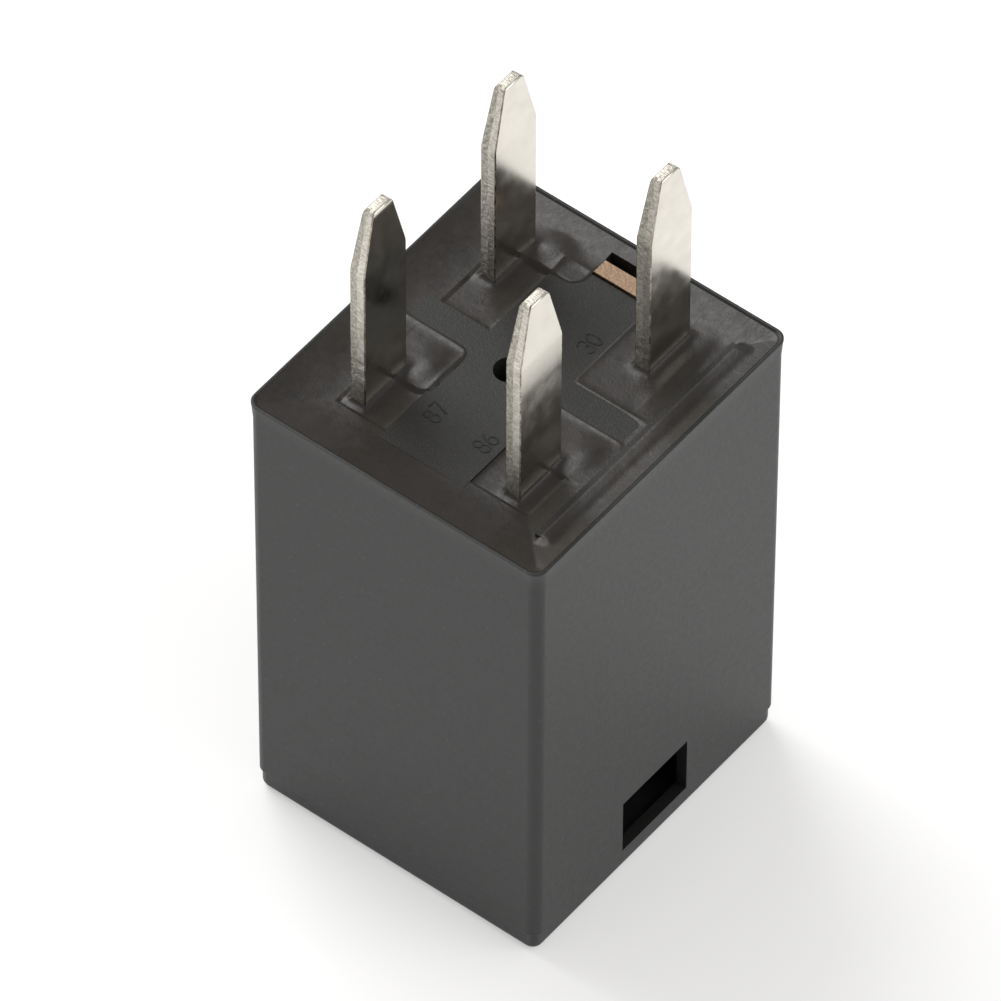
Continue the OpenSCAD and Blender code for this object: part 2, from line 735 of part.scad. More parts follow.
module contact_spring() {
    inner = spring_side(spring_t / 2);
    outer = spring_side(-spring_t / 2);
    color([0.72, 0.5, 0.28]) difference() {
        intersection() {
            along_x(spring_w) polygon(concat(inner, [for (i = [len(outer) - 1:-1:0]) outer[i]]));
            linear_extrude(2 * spring_leg + pole_z) polygon([
                [-spring_w / 2, wall_in_y], [-spring_w / 2, spring_waist],
                [-spring_tip_w / 2, armature_front - spring_neck], [-spring_tip_w / 2, -wall_in_y],
                [spring_tip_w / 2, -wall_in_y], [spring_tip_w / 2, armature_front - spring_neck],
                [spring_w / 2, spring_waist], [spring_w / 2, wall_in_y],
            ]);
        }
        // Window that leaves two soft strips round the pivot
        translate([-window_w / 2, pivot_y + spring_t, spring_top])
            cube([window_w, bow_r + over, bow_start_z - spring_top + window_up]);
        opened() {
            translate([0, contact_y, 0]) cylinder(r = shank_r + run_gap, h = pole_z, $fn = small_fn);
            both_sides() translate([armature_rivet_x, armature_rivet_y, 0])
                cylinder(r = shank_r + run_gap, h = pole_z, $fn = small_fn);
        }
        for (z = yoke_rivet_z) translate([0, pivot_y + spring_t + over, z]) rotate([90, 0, 0])
            cylinder(r = shank_r + run_gap, h = spring_t + 2 * over, $fn = small_fn);
    }
}

// Contact button with a low dome, on the side of +Z, from the level low
module button(low, h, r) {
    dome = 0.16 * r;
    high = low + h;
    rotate_extrude($fn = small_fn) polygon(concat(
        [[0, low], [r, low]],
        [for (i = [4:-1:0]) [r * i / 4, high - dome * pow(i / 4, 2)]]
    ));
}

module moving_contact() {
    low = spring_top - spring_t - run_gap;
    color([0.82, 0.82, 0.8]) opened() translate([0, contact_y, 0]) {
        button(spring_top + run_gap, contact_h - run_gap, contact_r);
        translate([0, 0, low]) cylinder(r = shank_r, h = spring_t + 3 * run_gap, $fn = small_fn);
        translate([0, 0, low - contact_tail]) cylinder(r = rivet_r, h = contact_tail, $fn = small_fn);
    }
}

module fixed_contact() {
    color([0.82, 0.82, 0.8]) translate([0, contact_y, 0]) {
        translate([0, 0, foot_bottom]) mirror([0, 0, 1]) button(0, fixed_h, contact_r);
        translate([0, 0, foot_bottom - fixed_h / 2])
            cylinder(r = shank_r, h = blade_t + fixed_h / 2, $fn = small_fn);
    }
}

// Rivet with its head at the origin under the plane z = 0 and a shank of length l above it
module rivet(l) {
    rotate_extrude($fn = small_fn) polygon([
        [0, -rivet_h], [rivet_r - rivet_h / 2, -rivet_h], [rivet_r, -rivet_h / 2], [rivet_r, 0],
        [shank_r, 0], [shank_r, l], [0, l],
    ]);
}

module armature_rivets() {
    head = spring_top - spring_t - run_gap;
    color([0.7, 0.68, 0.6]) opened() both_sides()
        translate([armature_rivet_x, armature_rivet_y, head]) rivet(armature_top - head - run_gap);
}

module yoke_rivets() {
    head = pivot_y + spring_t;
    color([0.7, 0.68, 0.6]) for (z = yoke_rivet_z)
        translate([0, head, z]) rotate([90, 0, 0]) rivet(head - yoke_in_y - run_gap);
}

cover();
base();
potting();
terminal_30();
terminal_85();
terminal_86();
terminal_87();
yoke();
core();
bobbin();
winding();
coil_lead_85();
coil_lead_86();
solder_85();
solder_86();
armature();
contact_spring();
moving_contact();
fixed_contact();
armature_rivets();
yoke_rivets();
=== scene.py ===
"""Looks of the automotive relay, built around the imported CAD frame.

Lengths are in metres, or in millimetres where a comment says so.
"""

import math
import random

import bmesh
import bpy
import numpy as np
from mathutils import Matrix, Vector


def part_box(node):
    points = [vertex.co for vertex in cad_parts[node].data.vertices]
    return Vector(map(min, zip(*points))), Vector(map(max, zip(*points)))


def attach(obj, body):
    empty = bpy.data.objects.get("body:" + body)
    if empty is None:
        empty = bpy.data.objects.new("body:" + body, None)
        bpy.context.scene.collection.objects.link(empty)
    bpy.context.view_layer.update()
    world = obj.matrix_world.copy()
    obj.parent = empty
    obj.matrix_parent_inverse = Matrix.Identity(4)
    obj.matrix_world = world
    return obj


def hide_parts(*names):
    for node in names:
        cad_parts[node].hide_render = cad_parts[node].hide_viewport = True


MM = 0.001

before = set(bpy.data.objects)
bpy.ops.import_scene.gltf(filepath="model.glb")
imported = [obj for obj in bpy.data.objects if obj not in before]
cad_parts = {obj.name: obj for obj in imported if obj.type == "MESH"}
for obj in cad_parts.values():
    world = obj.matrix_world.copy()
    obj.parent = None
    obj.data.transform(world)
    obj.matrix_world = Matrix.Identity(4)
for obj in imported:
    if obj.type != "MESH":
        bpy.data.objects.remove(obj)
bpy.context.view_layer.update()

# Places read from the frame
COVER_X, COVER_Y, COVER_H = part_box("cover")[1]
LEDGE_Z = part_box("potting")[0].z
TIP_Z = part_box("terminal_87")[1].z

# Middle of each blade, and half its width along Y and thickness along X, in millimetres
BLADES = {"87": (-4.32, -3.925), "86": (3.92, -3.925), "30": (3.92, 4.825), "85": (-4.32, 4.825)}
BLADE_HALF_W = 1.4
BLADE_HALF_T = 0.4

# Grained top of the base, in millimetres from the rim
PLATEAU = -0.4


# ---------------------------------------------------------------- helpers

def smooth_step(low, high, value):
    t = np.clip((value - low) / (high - low), 0, 1)
    return t * t * (3 - 2 * t)


def add_object(name, data):
    """An object in the scene that holds the data."""
    thing = bpy.data.objects.new(name, data)
    bpy.context.scene.collection.objects.link(thing)
    return thing


def mesh_from(bm, name):
    """A mesh made of the bmesh, which is freed."""
    mesh = bpy.data.meshes.new(name)
    bm.to_mesh(mesh)
    bm.free()
    return mesh


def new_piece(name, mesh, material):
    """A smooth piece made of that mesh, riding on the body that stays still."""
    piece = add_object(name, mesh)
    mesh.materials.append(material)
    mesh.polygons.foreach_set("use_smooth", [True] * len(mesh.polygons))
    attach(piece, "root")
    return piece


def apply_modifiers(piece):
    """Bakes the piece's modifiers into its mesh."""
    graph = bpy.context.evaluated_depsgraph_get()
    mesh = bpy.data.meshes.new_from_object(piece.evaluated_get(graph))
    piece.modifiers.clear()
    piece.data = mesh
    return piece


# ---------------------------------------------------------------- materials

class Nodes:
    """A material's node tree, with short calls for the nodes that the finishes share."""

    def __init__(self, name):
        self.material = bpy.data.materials.new(name)
        self.material.use_nodes = True
        self.tree = self.material.node_tree
        self.tree.nodes.clear()
        self.shader = self.add("ShaderNodeBsdfPrincipled")
        output = self.add("ShaderNodeOutputMaterial")
        self.link(self.shader.outputs["BSDF"], output.inputs["Surface"])
        self.place = self.add("ShaderNodeTexCoord").outputs["Object"]

    def add(self, kind, **settings):
        node = self.tree.nodes.new(kind)
        for key, value in settings.items():
            setattr(node, key, value)
        return node

    def link(self, source, target):
        self.tree.links.new(source, target)

    def scaled(self, scale):
        """Object coordinates times scale along each axis."""
        mapping = self.add("ShaderNodeMapping")
        mapping.inputs["Scale"].default_value = scale
        self.link(self.place, mapping.inputs["Vector"])
        return mapping.outputs["Vector"]

    def noise(self, size, detail=2.0, rough=0.5, stretch=(1, 1, 1)):
        """Noise with features of that size."""
        node = self.add("ShaderNodeTexNoise")
        node.inputs["Scale"].default_value = 1.0
        node.inputs["Detail"].default_value = detail
        node.inputs["Roughness"].default_value = rough
        self.link(self.scaled([1 / (size * s) for s in stretch]), node.inputs["Vector"])
        return node.outputs["Fac"]

    def cells(self, size):
        """Distance to the nearest of scattered points, with that spacing."""
        node = self.add("ShaderNodeTexVoronoi")
        node.inputs["Scale"].default_value = 1.0
        self.link(self.scaled([1 / size] * 3), node.inputs["Vector"])
        return node.outputs["Distance"]

    def ramp(self, value, low, high, low_value=0.0, high_value=1.0):
        """value mapped from low..high to low_value..high_value, clamped."""
        node = self.add("ShaderNodeMapRange")
        node.inputs["From Min"].default_value = low
        node.inputs["From Max"].default_value = high
        node.inputs["To Min"].default_value = low_value
        node.inputs["To Max"].default_value = high_value
        self.link(value, node.inputs["Value"])
        return node.outputs["Result"]

    def math(self, operation, a, b):
        """Result of a maths node. Each operand is a number or a socket."""
        node = self.add("ShaderNodeMath", operation=operation)
        for socket, value in zip(node.inputs, (a, b)):
            if isinstance(value, (int, float)):
                socket.default_value = value
            else:
                self.link(value, socket)
        return node.outputs["Value"]

    def mix(self, fac, a, b):
        """Colour a where fac is 0 and b where it is 1. Each is a colour or a socket."""
        node = self.add("ShaderNodeMix", data_type="RGBA")
        self.link(fac, node.inputs["Factor"])
        colours = [s for s in node.inputs if s.type == "RGBA"]
        for socket, value in zip(colours, (a, b)):
            if isinstance(value, (tuple, list)):
                socket.default_value = (*value, 1)
            else:
                self.link(value, socket)
        return [s for s in node.outputs if s.type == "RGBA"][0]

    def bump(self, height, depth, previous=None):
        """Surface bump of that depth. Several are chained."""
        node = self.add("ShaderNodeBump")
        node.inputs["Distance"].default_value = depth
        node.inputs["Strength"].default_value = 1.0
        self.link(height, node.inputs["Height"])
        if previous is not None:
            self.link(previous, node.inputs["Normal"])
        return node.outputs["Normal"]

    def set(self, **values):
        """Sets or links sockets of the shader. An underscore stands for a space."""
        for key, value in values.items():
            socket = self.shader.inputs[key.replace("_", " ")]
            if isinstance(value, (int, float)):
                socket.default_value = value
            elif isinstance(value, tuple):
                socket.default_value = (*value, 1)
            else:
                self.link(value, socket)


def cover_plastic():
    """Matte black moulded plastic with a fine even grain, cloudy gloss and a few light specks."""
    n = Nodes("cover_plastic")
    cloud = n.noise(6 * MM, detail=3)
    specks = n.ramp(n.cells(0.55 * MM), 0.0, 0.09, 1.0, 0.0)
    tone = n.mix(n.ramp(cloud, 0.3, 0.7), (0.012, 0.0125, 0.0122), (0.014, 0.0145, 0.0142))
    n.set(
        Base_Color=n.mix(specks, tone, (0.10, 0.10, 0.095)),
        Roughness=n.ramp(n.noise(0.25 * MM, detail=4), 0.3, 0.7, 0.42, 0.48),
        Normal=n.bump(n.noise(0.07 * MM, detail=3), 0.006 * MM),
    )
    return n.material


def base_plastic():
    """Black plastic with the coarse sparked grain of its mould."""
    n = Nodes("base_plastic")
    grain = n.noise(0.09 * MM, detail=3, rough=0.7)
    specks = n.ramp(n.noise(0.05 * MM, detail=1), 0.68, 0.74)
    tone = n.mix(n.ramp(grain, 0.35, 0.7), (0.012, 0.012, 0.0115), (0.028, 0.028, 0.027))
    n.set(
        Base_Color=n.mix(specks, tone, (0.12, 0.12, 0.12)),
        Roughness=n.ramp(grain, 0.3, 0.7, 0.38, 0.6),
        Normal=n.bump(grain, 0.03 * MM),
    )
    return n.material


def epoxy():
    """Dark brown potting resin: glossy, a little wavy, dusted with fine specks."""
    n = Nodes("epoxy")
    cloud = n.noise(2.4 * MM, detail=4)
    dust = n.ramp(n.cells(0.3 * MM), 0.0, 0.12, 1.0, 0.0)
    tone = n.mix(n.ramp(cloud, 0.3, 0.7), (0.018, 0.0145, 0.0125), (0.03, 0.0245, 0.0205))
    wave = n.bump(n.noise(0.9 * MM, detail=2), 0.02 * MM)
    n.set(
        Base_Color=n.mix(n.math("MULTIPLY", dust, 0.35), tone, (0.12, 0.11, 0.10)),
        Roughness=n.ramp(n.noise(0.35 * MM, detail=3), 0.3, 0.7, 0.26, 0.4),
        Normal=n.bump(n.noise(0.12 * MM, detail=2), 0.006 * MM, wave),
    )
    return n.material


def tin_plate():
    """Tin-plated rolled strip: warm silver, soft blotches and fine scratches along the blade."""
    n = Nodes("tin_plate")
    blotch = n.noise(0.9 * MM, detail=5, rough=0.6)
    scratches = n.noise(0.05 * MM, detail=2, stretch=(1, 1, 12))
    tone = n.mix(n.ramp(blotch, 0.3, 0.75), (0.66, 0.63, 0.56), (0.78, 0.745, 0.67))
    n.set(
        Metallic=1.0,
        Base_Color=tone,
        Roughness=n.ramp(blotch, 0.3, 0.7, 0.15, 0.24),
        Normal=n.bump(scratches, 0.0006 * MM, n.bump(blotch, 0.002 * MM)),
    )
    return n.material


def tin_shear():
    """Sheared edge of the strip: dull plating over short torn streaks."""
    n = Nodes("tin_shear")
    tear = n.noise(0.11 * MM, detail=4, rough=0.65, stretch=(2.2, 1, 1))
    tone = n.mix(n.ramp(tear, 0.35, 0.65), (0.50, 0.47, 0.40), (0.85, 0.82, 0.75))
    n.set(
        Metallic=1.0,
        Base_Color=tone,
        Roughness=n.ramp(tear, 0.3, 0.7, 0.32, 0.5),
        Normal=n.bump(tear, 0.05 * MM),
    )
    return n.material


def tin_torn():
    """Torn part of a sheared edge: coarse, broken and darker."""
    n = Nodes("tin_torn")
    tear = n.noise(0.16 * MM, detail=5, rough=0.75)
    chips = n.ramp(n.noise(0.1 * MM, detail=2), 0.62, 0.7)
    tone = n.mix(n.ramp(tear, 0.35, 0.65), (0.34, 0.32, 0.26), (0.8, 0.77, 0.70))
    n.set(
        Metallic=1.0,
        Base_Color=n.mix(chips, tone, (0.9, 0.88, 0.82)),
        Roughness=n.ramp(tear, 0.3, 0.7, 0.3, 0.5),
        Normal=n.bump(tear, 0.12 * MM),
    )
    return n.material


def tin_painted_shade_edge():
    """Dark brownish line on the blade's chamfer. It is painted shade and painted dark reflection
    of a small step along the edge, with a mottled tone.
    """
    n = Nodes("tin_painted_shade_edge")
    shade_mottle = n.noise(0.3 * MM, detail=4)
    n.set(
        Metallic=1.0,
        Base_Color=n.mix(n.ramp(shade_mottle, 0.35, 0.65), (0.2, 0.16, 0.12), (0.55, 0.51, 0.44)),
        Roughness=n.ramp(shade_mottle, 0.3, 0.7, 0.35, 0.5),
        Normal=n.bump(shade_mottle, 0.01 * MM),
    )
    return n.material


def metal(name, dark, light, rough_low, rough_high, size, depth):
    """Plain metal of an inner piece, with blotches of that size and bump of that depth."""
    n = Nodes(name)
    blotch = n.noise(size, detail=4)
    n.set(
        Metallic=1.0,
        Base_Color=n.mix(n.ramp(blotch, 0.3, 0.7), dark, light),
        Roughness=n.ramp(blotch, 0.3, 0.7, rough_low, rough_high),
        Normal=n.bump(blotch, depth),
    )
    return n.material


def bobbin_plastic():
    """Natural nylon with a faint grain."""
    n = Nodes("bobbin_plastic")
    grain = n.noise(0.3 * MM, detail=3)
    n.set(
        Base_Color=n.mix(n.ramp(grain, 0.3, 0.7), (0.42, 0.40, 0.35), (0.5, 0.48, 0.43)),
        Roughness=n.ramp(grain, 0.3, 0.7, 0.4, 0.55),
        Normal=n.bump(grain, 0.01 * MM),
    )
    return n.material


WIRE_PITCH = 0.12 * MM
# A wave texture of scale 0.5 repeats every 2 pi / 10 units
WAVE_UNITS = 2 * math.pi / WIRE_PITCH / 10


def copper_wire():
    """Turns of enamelled wire, as fine ridges round the coil."""
    n = Nodes("copper_wire")
    wave = n.add("ShaderNodeTexWave", wave_type="BANDS", bands_direction="Z")
    wave.inputs["Scale"].default_value = 0.5
    wave.inputs["Distortion"].default_value = 0.4
    n.link(n.scaled([WAVE_UNITS] * 3), wave.inputs["Vector"])
    blotch = n.noise(0.8 * MM, detail=3)
    n.set(
        Metallic=1.0,
        Base_Color=n.mix(n.ramp(blotch, 0.3, 0.7), (0.45, 0.16, 0.06), (0.62, 0.26, 0.12)),
        Roughness=n.ramp(blotch, 0.3, 0.7, 0.25, 0.4),
        Normal=n.bump(wave.outputs["Fac"], 0.03 * MM),
    )
    return n.material


COVER_PLASTIC = cover_plastic()
BASE_PLASTIC = base_plastic()
EPOXY = epoxy()
TIN = tin_plate()
TIN_SHEAR = tin_shear()
TIN_TORN = tin_torn()
# Tin of the chamfer faces, darkened as painted shade of the edge's small step
TIN_PAINTED_SHADE_EDGE = tin_painted_shade_edge()
BRONZE = metal(
    "strip_bronze", (0.23, 0.15, 0.10), (0.42, 0.30, 0.21),
    0.4, 0.55, 0.12 * MM, 0.01 * MM)
INNER = {
    "magnet_steel": metal(
        "magnet_steel", (0.42, 0.42, 0.40), (0.6, 0.59, 0.56),
        0.3, 0.45, 0.5 * MM, 0.006 * MM),
    "bobbin_plastic": bobbin_plastic(),
    "copper_wire": copper_wire(),
    "solder": metal(
        "solder", (0.5, 0.5, 0.5), (0.7, 0.7, 0.69),
        0.2, 0.4, 0.3 * MM, 0.02 * MM),
    "spring_alloy": metal(
        "spring_alloy", (0.5, 0.3, 0.14), (0.66, 0.42, 0.22),
        0.25, 0.4, 0.4 * MM, 0.004 * MM),
    "contact_silver": metal(
        "contact_silver", (0.75, 0.74, 0.72), (0.9, 0.89, 0.87),
        0.15, 0.3, 0.2 * MM, 0.006 * MM),
    "rivet_brass": metal(
        "rivet_brass", (0.5, 0.38, 0.16), (0.7, 0.56, 0.28),
        0.25, 0.4, 0.2 * MM, 0.006 * MM),
}
# Nodes of the frame that stay visible and are only given a finish
NODE_SLOTS = {
    "yoke": "magnet_steel", "core": "magnet_steel", "armature": "magnet_steel",
    "contact_spring": "spring_alloy",
    "bobbin": "bobbin_plastic", "winding": "copper_wire",
    "coil_lead_85": "copper_wire", "coil_lead_86": "copper_wire",
    "solder_85": "solder", "solder_86": "solder",
    "moving_contact": "contact_silver", "fixed_contact": "contact_silver",
    "armature_rivets": "rivet_brass", "yoke_rivets": "rivet_brass",
}


def dress(node, material):
    """Gives a CAD node that stays visible its finish."""
    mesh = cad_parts[node].data
    mesh.materials.clear()
    mesh.materials.append(material)


WELD = 0.0005 * MM
FLAT_ANGLE = math.radians(0.5)


def copy_of(node, name):
    """A mesh with the shape of a CAD node, welded and with its flat faces whole."""
    bm = bmesh.new()
    bm.from_mesh(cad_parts[node].data)
    bmesh.ops.remove_doubles(bm, verts=bm.verts, dist=WELD)
    bmesh.ops.dissolve_limit(bm, angle_limit=FLAT_ANGLE, verts=bm.verts, edges=bm.edges)
    return mesh_from(bm, name)


# ---------------------------------------------------------------- camera

AZIMUTH = math.radians(38.11)
ELEVATION = math.radians(49.79)
ROLL = math.radians(0.231)
DISTANCE = 0.6627
AIM_RIGHT = -0.00069
AIM_UP = 0.00265
LENS_MM = 561.2
SENSOR_MM = 36


def make_camera():
    """Camera that looks down at the middle of the cover from the front right."""
    back = Vector((
        math.sin(AZIMUTH) * math.cos(ELEVATION),
        -math.cos(AZIMUTH) * math.cos(ELEVATION),
        math.sin(ELEVATION),
    ))
    right = Vector((math.cos(AZIMUTH), math.sin(AZIMUTH), 0))
    up = back.cross(right)
    right_rolled = right * math.cos(ROLL) + up * math.sin(ROLL)
    up_rolled = up * math.cos(ROLL) - right * math.sin(ROLL)
    data = bpy.data.cameras.new("camera")
    data.lens = LENS_MM
    data.sensor_width = SENSOR_MM
    data.clip_start = 0.01
    data.clip_end = 20
    camera = add_object("camera", data)
    place = Vector((0, 0, COVER_H / 2)) + back * DISTANCE
    place += right_rolled * AIM_RIGHT + up_rolled * AIM_UP
    turn = Matrix((right_rolled, up_rolled, back)).transposed()
    camera.matrix_world = Matrix.Translation(place) @ turn.to_4x4()
    bpy.context.scene.camera = camera


# ---------------------------------------------------------------- stage and light

FLOOR_HALF = 3.0
FLOOR_WHITE = (0.8, 0.8, 0.8, 1)
FLOOR_GLOW = 0.4
ROOM_COLOUR = (1.0, 0.985, 0.96, 1)
ROOM_LIGHT = 0.45


def make_floor():
    """White floor. The camera and reflections see it close to white, with its shadow."""
    mesh = bpy.data.meshes.new("floor")
    signs = ((-1, -1), (1, -1), (1, 1), (-1, 1))
    corners = [(sx * FLOOR_HALF, sy * FLOOR_HALF, 0) for sx, sy in signs]
    mesh.from_pydata(corners, [], [(0, 1, 2, 3)])
    floor = add_object("floor", mesh)
    material = bpy.data.materials.new("floor_white")
    material.use_nodes = True
    tree = material.node_tree
    tree.nodes.clear()
    output = tree.nodes.new("ShaderNodeOutputMaterial")
    path = tree.nodes.new("ShaderNodeLightPath")
    plain = tree.nodes.new("ShaderNodeBsdfDiffuse")
    plain.inputs["Color"].default_value = FLOOR_WHITE
    seen = tree.nodes.new("ShaderNodeBsdfDiffuse")
    seen.inputs["Color"].default_value = FLOOR_WHITE
    glow = tree.nodes.new("ShaderNodeEmission")
    glow.inputs["Strength"].default_value = FLOOR_GLOW
    both = tree.nodes.new("ShaderNodeAddShader")
    choice = tree.nodes.new("ShaderNodeMixShader")
    rays = tree.nodes.new("ShaderNodeMath")
    rays.operation = "MAXIMUM"
    more = tree.nodes.new("ShaderNodeMath")
    more.operation = "MAXIMUM"
    tree.links.new(path.outputs["Is Camera Ray"], rays.inputs[0])
    tree.links.new(path.outputs["Is Glossy Ray"], rays.inputs[1])
    tree.links.new(rays.outputs["Value"], more.inputs[0])
    tree.links.new(path.outputs["Is Transmission Ray"], more.inputs[1])
    tree.links.new(seen.outputs["BSDF"], both.inputs[0])
    tree.links.new(glow.outputs["Emission"], both.inputs[1])
    tree.links.new(more.outputs["Value"], choice.inputs["Fac"])
    tree.links.new(plain.outputs["BSDF"], choice.inputs[1])
    tree.links.new(both.outputs["Shader"], choice.inputs[2])
    tree.links.new(choice.outputs["Shader"], output.inputs["Surface"])
    mesh.materials.append(material)


def make_world():
    """Soft warm room light. The camera sees white."""
    world = bpy.data.worlds.new("room")
    bpy.context.scene.world = world
    world.use_nodes = True
    tree = world.node_tree
    tree.nodes.clear()
    output = tree.nodes.new("ShaderNodeOutputWorld")
    path = tree.nodes.new("ShaderNodeLightPath")
    room = tree.nodes.new("ShaderNodeBackground")
    room.inputs["Color"].default_value = ROOM_COLOUR
    room.inputs["Strength"].default_value = ROOM_LIGHT
    white = tree.nodes.new("ShaderNodeBackground")
    white.inputs["Strength"].default_value = 1.0
    choice = tree.nodes.new("ShaderNodeMixShader")
    tree.links.new(path.outputs["Is Camera Ray"], choice.inputs["Fac"])
    tree.links.new(room.outputs["Background"], choice.inputs[1])
    tree.links.new(white.outputs["Background"], choice.inputs[2])
    tree.links.new(choice.outputs["Shader"], output.inputs["Surface"])


def make_lamp(name, azimuth, elevation, distance, size, power):
    """Square soft lamp aimed at the relay. Azimuth is from +X towards +Y, in degrees."""
    data = bpy.data.lights.new(name, "AREA")
    data.shape = "SQUARE"
    data.size = size
    data.energy = power
    lamp = add_object(name, data)
    a, e = math.radians(azimuth), math.radians(elevation)
    direction = Vector((math.cos(a) * math.cos(e), math.sin(a) * math.cos(e), math.sin(e)))
    lamp.location = Vector((0, 0, COVER_H / 2)) + direction * distance
    lamp.rotation_euler = direction.to_track_quat("Z", "Y").to_euler()


# ---------------------------------------------------------------- cover

def rounded_ring(bm, half_x, half_y, radius, z, steps=8):
    """One ring of vertices round a rectangle with rounded corners, from the +X +Y corner on."""
    ring = []
    for corner in range(4):
        sx = (1, -1, -1, 1)[corner]
        sy = (1, 1, -1, -1)[corner]
        for i in range(steps + 1):
            a = math.radians(90 * corner + 90 * i / steps)
            x = sx * (half_x - radius) + radius * math.cos(a)
            y = sy * (half_y - radius) + radius * math.sin(a)
            ring.append(bm.verts.new((x, y, z)))
    return ring


def bridge(bm, lower, upper):
    """Faces between two rings with the same number of vertices."""
    count = len(lower)
    for i in range(count):
        j = (i + 1) % count
        bm.faces.new((lower[i], lower[j], upper[j], upper[i]))


# Steps, edges and walls of the cover, as in the part's source
END_STEP = 0.1 * MM
END_STEP_Z = 1.2 * MM
END_EDGE = 0.45 * MM
END_T = 0.8 * MM
DRAFT = 0.06 * MM
LIP_FLARE = 0.07 * MM
LIP_H = 1.0 * MM
LIP_EDGE = 0.12 * MM
WALL = 0.55 * MM
CORNER_R = 0.6 * MM
CAVITY_R = 0.35 * MM
RIM_LAND = 0.12 * MM
RIM_BEVEL = 0.5 * MM
RIM_EDGE = 0.035 * MM
SLOT_LOW = 1.4 * MM
SLOT_HIGH = 4.55 * MM
SLOT_Y = -0.15 * MM
SLOT_W = 4.45 * MM
# Short rows on both sides of a bend keep its shading narrow
BEND = 0.02 * MM
FINE_BEND = 0.01 * MM
END_ARC_STEPS = 6
CORNER_SHRINK = 0.5
CORNER_MIN_R = 0.12 * MM


def cover_mesh():
    """Cover as rings from the closed end up the outside, over the rim and down the inside."""
    bm = bmesh.new()
    wall = DRAFT + LIP_FLARE
    rows = []
    for i in range(END_ARC_STEPS + 1):
        a = math.radians(90 / END_ARC_STEPS * i)
        inset = wall + END_STEP + END_EDGE * (1 - math.sin(a))
        rows.append((inset, END_EDGE * (1 - math.cos(a))))
    rows += [
        (wall + END_STEP, END_STEP_Z - END_STEP - BEND),
        (wall + END_STEP * 0.9, END_STEP_Z - END_STEP),
        (wall + BEND, END_STEP_Z - BEND),
        (wall, END_STEP_Z + BEND),
        (LIP_FLARE, COVER_H - LIP_H),
        (FINE_BEND, COVER_H - LIP_EDGE - 0.03 * MM),
        (0, COVER_H - LIP_EDGE),
        (0, COVER_H - RIM_EDGE),
        (0.3 * RIM_EDGE, COVER_H - 0.3 * RIM_EDGE),
        (RIM_EDGE, COVER_H),
        (RIM_LAND - FINE_BEND, COVER_H),
        (RIM_LAND + FINE_BEND, COVER_H - FINE_BEND),
    ]
    rings = []
    for inset, z in rows:
        radius = max(CORNER_R - CORNER_SHRINK * inset, CORNER_MIN_R)
        rings.append(rounded_ring(bm, COVER_X - inset, COVER_Y - inset, radius, z))
    inside = WALL + wall
    for z in (COVER_H - RIM_BEVEL, END_T):
        rings.append(rounded_ring(bm, COVER_X - inside, COVER_Y - inside, CAVITY_R, z))
    bm.faces.new(list(reversed(rings[0])))
    for lower, upper in zip(rings, rings[1:]):
        bridge(bm, lower, upper)
    bm.faces.new(rings[-1])
    bmesh.ops.recalc_face_normals(bm, faces=bm.faces)
    return mesh_from(bm, "cover_body")


def box_mesh(name, low, high):
    """A plain box between two corners."""
    bm = bmesh.new()
    bmesh.ops.create_cube(bm, size=1)
    size = [h - l for l, h in zip(low, high)]
    middle = [(h + l) / 2 for l, h in zip(low, high)]
    bmesh.ops.scale(bm, vec=size, verts=bm.verts)
    bmesh.ops.translate(bm, vec=middle, verts=bm.verts)
    return mesh_from(bm, name)


def cut(piece, cutter_mesh):
    """Subtracts a mesh from the piece."""
    cutter = add_object("cutter", cutter_mesh)
    modifier = piece.modifiers.new("cut", "BOOLEAN")
    modifier.operation = "DIFFERENCE"
    modifier.solver = "EXACT"
    modifier.object = cutter
    apply_modifiers(piece)
    bpy.data.objects.remove(cutter)


def make_cover():
    """The cover, with a pry slot through each of its X walls."""
    piece = new_piece("cover_body", cover_mesh(), COVER_PLASTIC)
    slot_cut = box_mesh(
        "slot_cut",
        (-2 * COVER_X, SLOT_Y - SLOT_W / 2, SLOT_LOW),
        (2 * COVER_X, SLOT_Y + SLOT_W / 2, SLOT_HIGH),
    )
    cut(piece, slot_cut)
    soften(piece)
    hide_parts("cover")


def soften(piece, angle=30):
    """Smooth shading that keeps large faces flat and edges beyond the angle sharp."""
    mesh = piece.data
    mesh.polygons.foreach_set("use_smooth", [True] * len(mesh.polygons))
    mesh.set_sharp_from_angle(angle=math.radians(angle))
    modifier = piece.modifiers.new("flat_faces", "WEIGHTED_NORMAL")
    modifier.keep_sharp = True
    apply_modifiers(piece)


# ---------------------------------------------------------------- potting

# Millimetres from here on. The resin ends at the inner edge of the rim's land
RESIN_INSET = 0.12
RIM_X, RIM_Y = COVER_X / MM - RESIN_INSET, COVER_Y / MM - RESIN_INSET
RIM_R = 0.48
# Lower and higher corner, along X and Y, of the bare parts of the base
TOP_MIDDLE = ((-2.45, -6.245), (2.05, 6.355))
TOP_ARMS = ((-6.27, -0.3), (6.04, 1.2))
RIB = ((6.04, -6.5), (6.79, 6.9))
EAR = ((-1.01, 6.36), (2.47, 7.645))
RIB_TOP = -0.2
SHARP_R = 0.02
# Pools round the back half of each blade: low and high corner, corner radius, level, edge width
POOLS = (
    ((-6.6, -3.3), (-2.2, -0.1), 0.75, -0.4, 0.14),
    ((1.9, -3.25), (6.1, -0.2), 0.65, -0.42, 0.12),
    ((-6.6, 5.25), (-0.95, 8.6), 0.8, -0.36, 0.16),
    ((1.9, 1.0), (6.1, 8.6), 0.5, -0.42, 0.3),
)
# Humps in the pools: height, middle and half sizes
HUMPS = (
    (0.16, -3.2, -1.9, 0.75, 0.95),
    (0.15, 4.95, -1.7, 0.75, 1.0),
    (0.17, -3.1, 6.5, 0.9, 0.9),
    (0.16, 5.2, 4.6, 0.42, 1.7),
)
WELL = -0.53
